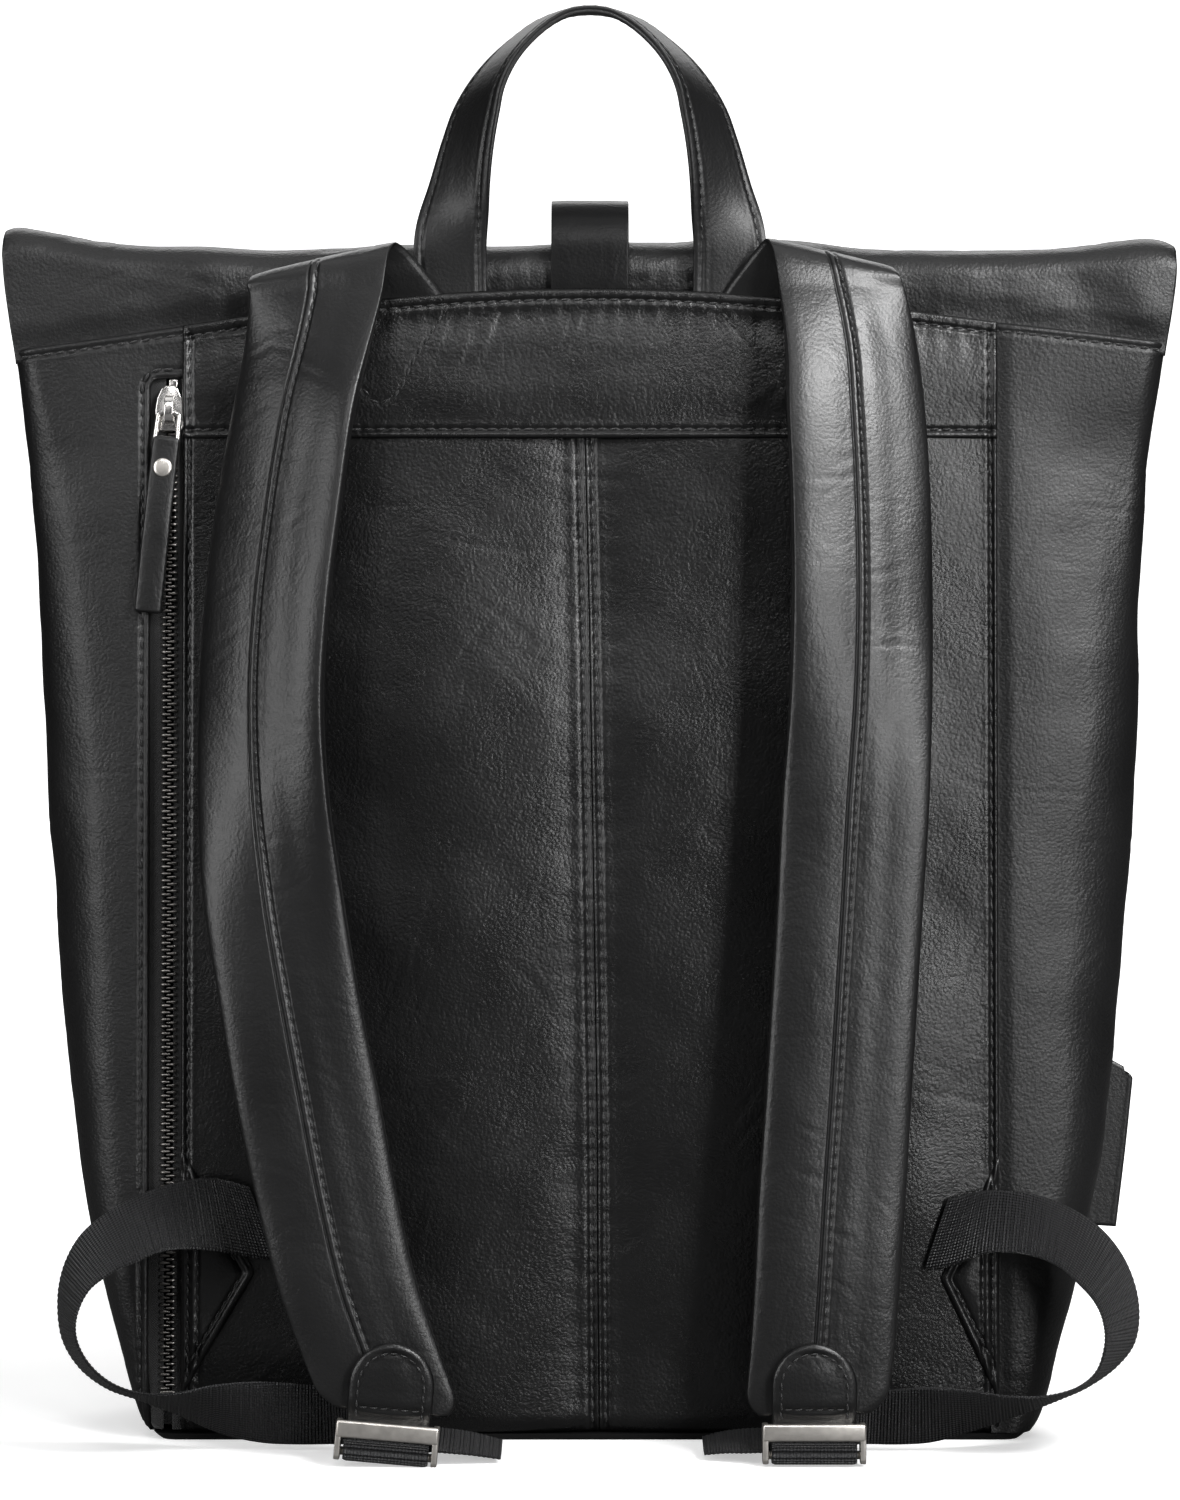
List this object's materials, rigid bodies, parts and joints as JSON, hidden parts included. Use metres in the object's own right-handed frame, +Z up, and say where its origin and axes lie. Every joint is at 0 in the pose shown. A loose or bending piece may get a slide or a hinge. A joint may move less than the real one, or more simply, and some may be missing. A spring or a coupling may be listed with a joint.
{
  "type": "leather backpack",
  "caption": "Black leather roll-top backpack seen from its wearer side, with padded shoulder straps, carry handle, vertical zip and nylon adjuster webbing.",
  "frame": {"origin": "centre of the base on the ground, half way between the side edges", "axes": "+Z up, -Y out of the back panel towards the wearer, +X to the right as seen by someone looking at the back panel"},
  "size_m": [0.432, 0.1655, 0.5264],
  "materials": {
    "body_leather": "semi-gloss black smooth leather with fine grain and creases",
    "strap_leather": "semi-gloss black smooth leather, painted edges",
    "flap_lining": "matt suede side",
    "foam": "closed-cell foam, covered",
    "webbing": "ribbed black nylon webbing",
    "nickel": "satin nickel plate",
    "zip_tape": "woven polyester tape",
    "zip_metal": "gun-metal finish",
    "lining_fabric": "woven cotton twill",
    "board": "matt polypropylene sheet"
  },
  "bodies": {
    "root": {"back_panel_left": "body_leather", "back_panel_right": "body_leather", "back_yoke": "body_leather", "side_panel_left": "body_leather", "side_panel_right": "body_leather", "front_panel": "body_leather", "top_band_back": "body_leather", "top_band_front": "body_leather", "base_panel": "body_leather", "lining": "lining_fabric", "base_board": "board", "back_foam": "foam", "laptop_sleeve": "lining_fabric", "closure_strap_anchor": "strap_leather", "snap_female": "nickel", "strap_left_anchor": "strap_leather", "strap_right_anchor": "strap_leather", "webbing_loop_left": "webbing", "webbing_loop_right": "webbing", "gusset_tab_left": "body_leather", "gusset_tab_right": "body_leather", "zip_tape_left": "zip_tape", "zip_tape_right": "zip_tape", "zip_teeth_left": "zip_metal", "zip_teeth_right": "zip_metal", "zip_top_stop": "nickel", "zip_bottom_stop": "zip_metal"},
    "roll_flap": {"roll_flap_outer": "body_leather", "roll_flap_inner": "flap_lining"},
    "closure_bridge": {"closure_strap_bridge": "strap_leather"},
    "closure_tail": {"closure_strap_tail": "strap_leather", "snap_male": "nickel"},
    "handle": {"handle_outer": "strap_leather", "handle_lining": "strap_leather"},
    "strap_left": {"strap_left_face": "strap_leather", "strap_left_foam": "foam", "strap_left_backing": "strap_leather", "strap_left_end_tab": "strap_leather"},
    "strap_right": {"strap_right_face": "strap_leather", "strap_right_foam": "foam", "strap_right_backing": "strap_leather", "strap_right_end_tab": "strap_leather"},
    "buckle_left": {"buckle_left": "nickel", "webbing_wrap_left": "webbing"},
    "buckle_right": {"buckle_right": "nickel", "webbing_wrap_right": "webbing"},
    "webbing_tail_left": {"webbing_tail_left": "webbing"},
    "webbing_tail_right": {"webbing_tail_right": "webbing"},
    "zip_slider": {"zip_slider": "nickel"},
    "zip_link": {"zip_link": "nickel"},
    "zip_pull": {"zip_pull": "strap_leather", "zip_pull_rivet": "nickel"},
    "side_tab": {"side_tab_right": "body_leather"}
  },
  "joints": [
    {"name": "roll_flap_hinge", "type": "hinge", "parent": "root", "child": "roll_flap", "pos_m": [0, -0.0435, 0.436], "axis": [1, 0, 0], "range_deg": [0, 75]},
    {"name": "closure_bridge_hinge", "type": "hinge", "parent": "root", "child": "closure_bridge", "pos_m": [0, -0.049, 0.432], "axis": [1, 0, 0], "range_deg": [0, 75]},
    {"name": "closure_tail_hinge", "type": "hinge", "parent": "closure_bridge", "child": "closure_tail", "pos_m": [0, -0.0098, 0.4288], "axis": [1, 0, 0], "range_deg": [0, 70]},
    {"name": "handle_hinge", "type": "hinge", "parent": "root", "child": "handle", "pos_m": [0, -0.0492, 0.424], "axis": [1, 0, 0], "range_deg": [-12, 28], "stiffness_Nm_per_rad": 0.2},
    {"name": "strap_left_hinge", "type": "hinge", "parent": "root", "child": "strap_left", "pos_m": [-0.0973, -0.0567, 0.4288], "axis": [-0.9728, 0, -0.2316], "range_deg": [0, 18]},
    {"name": "strap_right_hinge", "type": "hinge", "parent": "root", "child": "strap_right", "pos_m": [0.0873, -0.0567, 0.4312], "axis": [-0.9743, 0, 0.2252], "range_deg": [0, 18]},
    {"name": "buckle_left_hinge", "type": "hinge", "parent": "strap_left", "child": "buckle_left", "pos_m": [-0.07123, -0.1055, 0.01261], "axis": [0.9962, 0, -0.0872], "range_deg": [-8, 25]},
    {"name": "buckle_right_hinge", "type": "hinge", "parent": "strap_right", "child": "buckle_right", "pos_m": [0.0789, -0.1055, 0.0124], "axis": [1, 0, 0], "range_deg": [-8, 25]},
    {"name": "webbing_tail_left_slide", "type": "slide", "parent": "buckle_left", "child": "webbing_tail_left", "axis": [1, 0, 0], "range_m": [0, 0.03]},
    {"name": "webbing_tail_right_slide", "type": "slide", "parent": "buckle_right", "child": "webbing_tail_right", "axis": [-1, 0, 0], "range_m": [0, 0.03]},
    {"name": "zip_slide", "type": "slide", "parent": "root", "child": "zip_slider", "axis": [0, -0.025, -0.9997], "range_m": [0, 0.29], "deforming": ["zip_teeth_left", "zip_teeth_right"]},
    {"name": "zip_link_hinge", "type": "hinge", "parent": "zip_slider", "child": "zip_link", "pos_m": [-0.1543, -0.04924, 0.37447], "axis": [1, 0, 0], "range_deg": [-110, 0]},
    {"name": "zip_pull_hinge", "type": "hinge", "parent": "zip_link", "child": "zip_pull", "pos_m": [-0.1543, -0.0495, 0.36398], "axis": [1, 0, 0], "range_deg": [-60, 0]},
    {"name": "side_tab_hinge", "type": "hinge", "parent": "root", "child": "side_tab", "pos_m": [0.1886, 0, 0.1045], "axis": [0.1492, 0, 0.9888], "range_deg": [-20, 20]}
  ],
  "couplings": [
    {"joint": "closure_bridge_hinge", "follows": "roll_flap_hinge", "ratio": 1}
  ]
}
